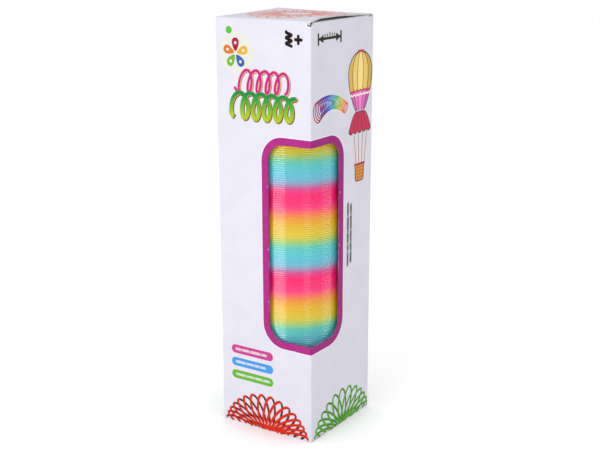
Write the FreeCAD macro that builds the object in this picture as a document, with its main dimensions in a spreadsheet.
"""A rainbow spring toy in its window carton, as a parametric FreeCAD document (millimetres).

The carton is a square tube of printed board that stands on a glued bottom and has a tuck lid
on top.  A window is cut round its front right corner.  A plastic coil, closed up, stands in it.
Origin: middle of the underside.  +Z is up, the title face looks along -Y.
"""
import FreeCAD, Part

import math
import os

import Sketcher

VECTOR = FreeCAD.Vector
ROTATION = FreeCAD.Rotation
Z_AXIS = VECTOR(0, 0, 1)

# Driving dimensions.  Everything else is an expression of these.
DIMENSIONS = {
    "carton_width": 83,       # outer width and depth of the square carton
    "carton_height": 316,     # underside to lid
    "board": 1,               # thickness of the board
    "crease_gap": 0.05,       # slit beside a crease that turns
    "window_reach": 37.5,     # window cut-out, from the corner edge along each face
    "window_low": 76.5,       # lower edge of the window above the underside
    "window_high": 227,       # upper edge of the window
    "window_radius": 13,      # rounding of the window's inner corners
    "glue_width": 12,         # width of the strip that closes the tube
    "glue_inset": 18,         # strip ends this far inside the tube's ends
    "tongue_length": 15,      # tuck tongue, from its crease to its free edge
    "tongue_gap": 1.2,        # play between the tongue and the back panel
    "tongue_inset": 2.5,      # tongue is this much narrower than the carton, each side
    "tongue_radius": 6,       # rounding of the tongue's free corners
    "lid_bevel": 0.7,         # undercut of the lid beside its tongue's crease
    "lid_inset": 0.4,         # lid is this much narrower than the carton, each side
    "dust_depth": 29,         # dust flap, from its crease to its free edge
    "dust_front_inset": 2,    # start of the dust flap's 45 degree taper at the lid's crease
    "dust_back_inset": 5,     # dust flap ends this far from the carton's back face
    "dust_back_taper": 3,     # how much the dust flap narrows at its back edge
    "bottom_gap": 0.6,        # play round the flaps that close the bottom
    "coil_diameter": 76,      # outer diameter of the spring
    "coil_wall": 5,           # radial width of the strip that is coiled
    "coil_length": 300,       # closed length of the spring
    "coil_runs": 6,           # stacked runs of turns
    "run_turns": 29,          # turns in a run
    "run_slit": 0.1,          # slit between two runs
    "turn_groove": 0.4,       # depth of the groove between two turns
    "coil_stand_off": 0.1,    # play under the spring
}

HALF = "sizes.carton_width / 2"
INNER = "(sizes.carton_width / 2 - sizes.board)"
TOP = "sizes.carton_height"

document = FreeCAD.newDocument("boxed_spring_toy")
sheet = document.addObject("Spreadsheet::Sheet", "sizes")
for row, (name, value) in enumerate(DIMENSIONS.items(), start=1):
    sheet.set(f"A{row}", name)
    sheet.set(f"B{row}", str(value))
    sheet.setAlias(f"B{row}", name)
document.recompute()


def value_of(expression):
    """The number that an expression of the sheet's cells has now."""
    return float(sheet.evalExpression(str(expression)))


def new_body(name):
    body = document.addObject("PartDesign::Body", name)
    body.Label = name
    return body


def plane_of(body, role):
    return next(item for item in body.Origin.OriginFeatures if item.Role == role)


def draw(body, name, role, path, offset=None):
    """A closed sketch on one of the body's planes.

    path holds corners (x, y) and arcs ("arc", centre_x, centre_y), all as expressions of the
    sheet.  An arc joins the corner before it to the corner after it.
    """
    sketch = body.newObject("Sketcher::SketchObject", name)
    sketch.AttachmentSupport = (plane_of(body, role), [""])
    sketch.MapMode = "FlatFace"
    if offset is not None:
        sketch.setExpression("AttachmentOffset.Base.z", offset)
    corners = [item for item in path if item[0] != "arc"]
    spots = [VECTOR(value_of(x), value_of(y), 0) for x, y in corners]
    centres = {}
    count = 0
    for item in path:
        if item[0] == "arc":
            centres[count - 1] = item[1:]
        else:
            count += 1
    ends = []
    for index, start in enumerate(spots):
        stop = spots[(index + 1) % len(spots)]
        ends.append(add_edge(sketch, start, stop, centres.get(index)))
    for index, (_, _, finish) in enumerate(ends):
        following = ends[(index + 1) % len(ends)]
        edge = ends[index][0]
        sketch.addConstraint(
            Sketcher.Constraint("Coincident", edge, finish, following[0], following[1])
        )
    for index, (x, y) in enumerate(corners):
        edge, begin, _ = ends[index]
        pin(sketch, "DistanceX", edge, begin, x)
        pin(sketch, "DistanceY", edge, begin, y)
    for index, (x, _) in centres.items():
        pin(sketch, "DistanceX", ends[index][0], 3, x)
    return sketch


def add_edge(sketch, start, stop, centre):
    """Adds a line or an arc, and gives its number with the point numbers of its two ends."""
    if centre is None:
        return sketch.addGeometry(Part.LineSegment(start, stop)), 1, 2
    middle = VECTOR(value_of(centre[0]), value_of(centre[1]), 0)
    first = math.atan2(start.y - middle.y, start.x - middle.x)
    last = math.atan2(stop.y - middle.y, stop.x - middle.x)
    circle = Part.Circle(middle, Z_AXIS, middle.distanceToPoint(start))
    turn = (last - first) % (2 * math.pi)
    if turn <= math.pi + 1e-6:
        return sketch.addGeometry(Part.ArcOfCircle(circle, first, first + turn)), 1, 2
    return sketch.addGeometry(Part.ArcOfCircle(circle, last, last + 2 * math.pi - turn)), 2, 1


def pin(sketch, kind, edge, point, expression):
    """Holds one coordinate of a point to an expression of the sheet."""
    number = sketch.addConstraint(
        Sketcher.Constraint(kind, -1, 1, edge, point, value_of(expression))
    )
    sketch.setExpression(f"Constraints[{number}]", str(expression))


def pad(body, name, sketch, length, both_ways=False):
    feature = body.newObject("PartDesign::Pad", name)
    feature.Profile = sketch
    feature.setExpression("Length", length)
    feature.Midplane = both_ways
    document.recompute()
    return feature


def cut_through(body, name, sketch):
    """A pocket that runs right through the body both ways, which has to take something off."""
    before = body.Shape.Volume
    feature = body.newObject("PartDesign::Pocket", name)
    feature.Profile = sketch
    feature.Type = "ThroughAll"
    feature.Midplane = True
    document.recompute()
    assert feature.Shape.Volume < before, name
    return feature


def wall_panel(name, low, high, turn, window_side=0):
    """One side of the tube, mitred at its two edges, with half of the window where it has one.

    It is drawn as the front face and turned about Z.  window_side is +1 where the window opens
    the panel's right edge, -1 its left edge.
    """
    body = new_body(name)
    diagonal = f"({HALF} - sizes.board * (1 - sqrt(0.5)))"
    plan = draw(body, f"{name}_plan", "XY_Plane", [
        (f"-{INNER}", f"-({HALF})"),
        (INNER, f"-({HALF})"),
        ("arc", INNER, f"-{INNER}"),
        (diagonal, f"-{diagonal}"),
        (INNER, f"-{INNER}"),
        (f"-{INNER}", f"-{INNER}"),
        (f"-{diagonal}", f"-{diagonal}"),
        ("arc", f"-{INNER}", f"-{INNER}"),
    ], offset=low)
    pad(body, f"{name}_board", plan, f"{high} - ({low})")
    if window_side:
        edge = f"{window_side} * (sizes.carton_width)"
        inside = f"{window_side} * ({HALF} - sizes.window_reach)"
        curve = f"{window_side} * ({HALF} - sizes.window_reach + sizes.window_radius)"
        opening = draw(body, f"{name}_window_outline", "XZ_Plane", [
            (edge, "sizes.window_low"),
            (edge, "sizes.window_high"),
            (curve, "sizes.window_high"),
            ("arc", curve, "sizes.window_high - sizes.window_radius"),
            (inside, "sizes.window_high - sizes.window_radius"),
            (inside, "sizes.window_low + sizes.window_radius"),
            ("arc", curve, "sizes.window_low + sizes.window_radius"),
            (curve, "sizes.window_low"),
        ])
        cut_through(body, f"{name}_window", opening)
    body.Placement = FreeCAD.Placement(VECTOR(0, 0, 0), ROTATION(Z_AXIS, turn))
    return body


def flap(name, depth, width, undercut="0"):
    """A plate hinged at a full-round edge: the crease runs along Y, the plate along +X.

    undercut is how much shorter its underside is, at the free edge.
    """
    body = new_body(name)
    section = draw(body, f"{name}_section", "XZ_Plane", [
        ("0", "sizes.board / 2"),
        ("arc", "0", "0"),
        ("0", "-sizes.board / 2"),
        (f"{depth} - {undercut}", "-sizes.board / 2"),
        (depth, "sizes.board / 2"),
    ])
    pad(body, f"{name}_board", section, width, both_ways=True)
    return body


def round_corners(body, name, radius, depth):
    """Rounds the two free corners of a plate, at its far end from the crease."""
    base = body.Tip
    far = value_of(depth)
    edges = [
        f"Edge{number}"
        for number, edge in enumerate(base.Shape.Edges, start=1)
        if all(abs(vertex.X - far) < 0.01 for vertex in edge.Vertexes)
        and abs(edge.Vertexes[0].Y - edge.Vertexes[-1].Y) < 0.01
    ]
    feature = body.newObject("PartDesign::Fillet", name)
    feature.Base = (base, edges)
    feature.setExpression("Radius", radius)
    document.recompute()
    return feature


def place(body, x, y, z, rotation):
    """Binds a body's place to the sheet and turns it."""
    body.Placement = FreeCAD.Placement(VECTOR(0, 0, 0), rotation)
    for axis, expression in zip("xyz", (x, y, z)):
        body.setExpression(f"Placement.Base.{axis}", str(expression))


def make_walls():
    crease = "sizes.board + sizes.crease_gap"
    wall_panel("front_panel", "sizes.board", f"{TOP} - ({crease})", 0, window_side=1)
    wall_panel("right_panel", "3 * sizes.board", f"{TOP} - 2 * ({crease})", 90, window_side=-1)
    wall_panel("back_panel", "2 * sizes.board", f"{TOP} - sizes.board / 2", 180)
    wall_panel("left_panel", "3 * sizes.board", f"{TOP} - 2 * ({crease})", 270)
    strip = new_body("glue_flap")
    outline = draw(strip, "glue_flap_plan", "XY_Plane", [
        (f"-{INNER}", f"{INNER} - sizes.glue_width"),
        (f"-{INNER} + sizes.board", f"{INNER} - sizes.glue_width"),
        (f"-{INNER} + sizes.board", INNER),
        (f"-{INNER}", INNER),
    ], offset="sizes.glue_inset")
    pad(strip, "glue_flap_board", outline, f"{TOP} - 2 * sizes.glue_inset")


def make_bottom():
    """Two dust flaps, then the flap from the back panel, then the one from the front panel."""
    level = "sizes.board / 2"
    inside_width = f"2 * ({INNER} - sizes.bottom_gap)"
    full_width = "sizes.carton_width - 2 * sizes.lid_inset"
    reach = f"sizes.carton_width - {level} - sizes.bottom_gap"
    outer = flap("bottom_outer_flap", reach, full_width)
    place(outer, 0, f"-({HALF}) + {level}", level, ROTATION(90, 0, 0))
    inner = flap("bottom_inner_flap", f"{reach} - sizes.board", full_width)
    place(inner, 0, f"{HALF} - {level}", f"{level} + sizes.board", ROTATION(-90, 0, 0))
    for name, side, turn in (("left", -1, 0), ("right", 1, 180)):
        dust = flap(f"bottom_{name}_dust_flap", "sizes.dust_depth", inside_width)
        place(dust, f"{side} * ({HALF} - {level})", 0, f"{level} + 2 * sizes.board",
              ROTATION(turn, 0, 0))


def make_top():
    """The tuck lid with its tongue, over two tapered dust flaps."""
    level = "sizes.board / 2"
    lid_depth = (
        "(sizes.carton_width - 2 * sizes.board - sizes.tongue_gap - sizes.crease_gap"
        " - sizes.board / 2)"
    )
    lid_width = "sizes.carton_width - 2 * sizes.lid_inset"
    lid = flap("top_lid", lid_depth, lid_width, undercut="sizes.lid_bevel")
    place(lid, 0, f"-({HALF}) + {level}", f"{TOP} - {level}", ROTATION(90, 0, 0))
    tongue_width = "(sizes.carton_width - 2 * sizes.board - 2 * sizes.tongue_inset)"
    tongue = flap("top_tongue", "sizes.tongue_length", tongue_width)
    round_corners(tongue, "top_tongue_corners", "sizes.tongue_radius", "sizes.tongue_length")
    place(tongue, 0, f"{INNER} - sizes.tongue_gap - {level}", f"{TOP} - {level}",
          ROTATION(VECTOR(0, 0, -1), VECTOR(1, 0, 0), VECTOR(0, -1, 0), "XYZ"))
    dust_width = f"2 * {INNER}"
    for name, side, turn in (("left", -1, 0), ("right", 1, 180)):
        label = f"top_{name}_dust_flap"
        dust = flap(label, "sizes.dust_depth", dust_width)
        front = f"{side} * {INNER}"
        back = f"{-side} * {INNER}"
        taper_front(dust, label, front, side)
        taper_back(dust, label, back, -side)
        place(dust, f"{side} * ({HALF} - {level})", 0,
              f"{TOP} - sizes.board - sizes.crease_gap - {level}", ROTATION(turn, 0, 0))


def taper_front(body, label, edge, side):
    """A 45 degree cut beside the lid's crease, so that the flap opens under a rising lid."""
    reach = "sizes.dust_depth"
    outline = draw(body, f"{label}_front_taper", "XY_Plane", [
        ("-sizes.board", f"{edge} + {side}"),
        ("-sizes.board", f"{edge} - {side} * sizes.dust_front_inset"),
        ("0", f"{edge} - {side} * sizes.dust_front_inset"),
        (f"{reach} + 1", f"{edge} - {side} * (sizes.dust_front_inset + {reach} + 1)"),
        (f"{reach} + 1", f"{edge} + {side}"),
    ])
    cut_through(body, f"{label}_front_cut", outline)


def taper_back(body, label, edge, side):
    """The straight edge beside the tongue, drawn in a little towards the flap's free end."""
    reach = "sizes.dust_depth"
    inset = "(sizes.dust_back_inset - sizes.board)"
    outline = draw(body, f"{label}_back_taper", "XY_Plane", [
        ("-sizes.board", f"{edge} + {side}"),
        ("-sizes.board", f"{edge} - {side} * {inset}"),
        ("0", f"{edge} - {side} * {inset}"),
        (f"{reach} + 1", f"{edge} - {side} * ({inset} + sizes.dust_back_taper)"),
        (f"{reach} + 1", f"{edge} + {side}"),
    ])
    cut_through(body, f"{label}_back_cut", outline)


def coil_run(number):
    """A run of closed turns, as a grooved sleeve."""
    name = f"spring_turns_{number}"
    body = new_body(name)
    outside = "sizes.coil_diameter / 2"
    inside = "(sizes.coil_diameter / 2 - sizes.coil_wall)"
    run = "(sizes.coil_length / sizes.coil_runs - sizes.run_slit)"
    pitch = f"({run} / sizes.run_turns)"
    groove = "sizes.turn_groove"
    wall = draw(body, f"{name}_wall", "XZ_Plane", [
        (inside, "0"), (outside, "0"), (outside, run), (inside, run),
    ])
    sleeve = body.newObject("PartDesign::Revolution", f"{name}_sleeve")
    sleeve.Profile = wall
    sleeve.ReferenceAxis = (wall, ["V_Axis"])
    sleeve.Angle = 360
    document.recompute()
    before = sleeve.Shape.Volume
    notch = draw(body, f"{name}_notch", "XZ_Plane", [
        (f"{outside} + {groove}", f"{pitch} - 2 * {groove}"),
        (f"{outside} + {groove}", f"{pitch} + 2 * {groove}"),
        (f"{outside} - {groove}", pitch),
    ])
    cut = body.newObject("PartDesign::Groove", f"{name}_groove")
    cut.Profile = notch
    cut.ReferenceAxis = (notch, ["V_Axis"])
    cut.Angle = 360
    document.recompute()
    assert cut.Shape.Volume < before, name
    rows = body.newObject("PartDesign::LinearPattern", f"{name}_grooves")
    rows.Originals = [cut]
    rows.Direction = (notch, ["V_Axis"])
    rows.setExpression("Length", f"{pitch} * (sizes.run_turns - 2)")
    rows.setExpression("Occurrences", "sizes.run_turns - 1")
    body.Tip = rows
    document.recompute()
    assert rows.Shape.Volume < cut.Shape.Volume, name
    stand = "3 * sizes.board + sizes.coil_stand_off"
    place(body, 0, 0, f"{stand} + {number - 1} * sizes.coil_length / sizes.coil_runs",
          ROTATION())


def check(parts):
    """Stops if any object has failed, or a sub-part is not one valid solid."""
    for item in document.Objects:
        assert not {"Invalid", "Error"} & set(item.State), item.Name
    for part in parts:
        assert not part.Shape.isNull() and part.Shape.isValid(), part.Label
        assert len(part.Shape.Solids) == 1, part.Label


make_walls()
make_bottom()
make_top()
for number in range(1, int(value_of("sizes.coil_runs")) + 1):
    coil_run(number)
document.recompute()

sub_parts = [item for item in document.Objects if item.TypeId == "PartDesign::Body"]
check(sub_parts)
os.makedirs("parts", exist_ok=True)
for part in sub_parts:
    part.Shape.exportStep(f"parts/{part.Label}.step")
    box = part.Shape.BoundBox
    print(part.Label, round(part.Shape.Volume, 1),
          [round(edge, 2) for edge in (box.XMin, box.XMax, box.YMin, box.YMax, box.ZMin, box.ZMax)])
